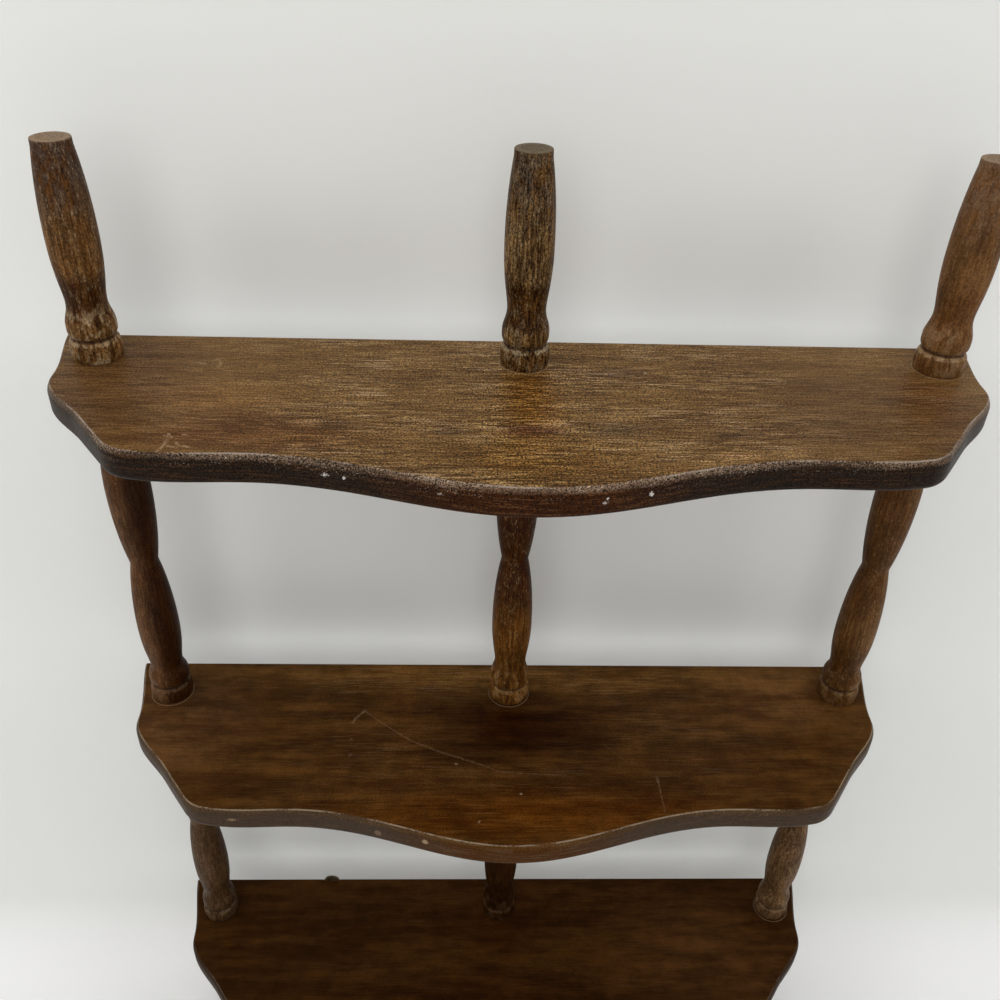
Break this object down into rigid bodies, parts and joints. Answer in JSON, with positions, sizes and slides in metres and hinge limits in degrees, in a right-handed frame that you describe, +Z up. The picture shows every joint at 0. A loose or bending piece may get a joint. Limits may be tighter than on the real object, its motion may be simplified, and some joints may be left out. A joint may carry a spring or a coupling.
{
  "type": "spindle wall shelf",
  "caption": "Wall shelf of bow-fronted wooden boards carried one above another on turned spindles, with half spindles as finials and eye plates on its rear edges to hang it by.",
  "frame": {"origin": "on the wall, midway between the two hanging eyes, at mid-thickness of the top shelf", "axes": "+X to the right seen from the room, +Y into the wall, +Z up"},
  "size_m": [0.514, 0.153, 0.748],
  "materials": {
    "shelf_wood": "stained walnut brown, worn satin lacquer",
    "spindle_wood": "stained walnut brown, worn on the beads",
    "plate_metal": "dull aged brass plate",
    "screw_steel": "plain steel",
    "nail_steel": "plain steel"
  },
  "bodies": {
    "root": {"top_shelf": "shelf_wood", "middle_shelf": "shelf_wood", "bottom_shelf": "shelf_wood", "upper_left_spindle": "spindle_wood", "upper_centre_spindle": "spindle_wood", "upper_right_spindle": "spindle_wood", "lower_left_spindle": "spindle_wood", "lower_centre_spindle": "spindle_wood", "lower_right_spindle": "spindle_wood", "top_left_finial": "spindle_wood", "top_centre_finial": "spindle_wood", "top_right_finial": "spindle_wood", "bottom_left_finial": "spindle_wood", "bottom_centre_finial": "spindle_wood", "bottom_right_finial": "spindle_wood", "left_eye_plate": "plate_metal", "right_eye_plate": "plate_metal", "lower_eye_plate": "plate_metal", "joining_screws": "screw_steel", "eye_plate_nails": "nail_steel"}
  },
  "joints": []
}
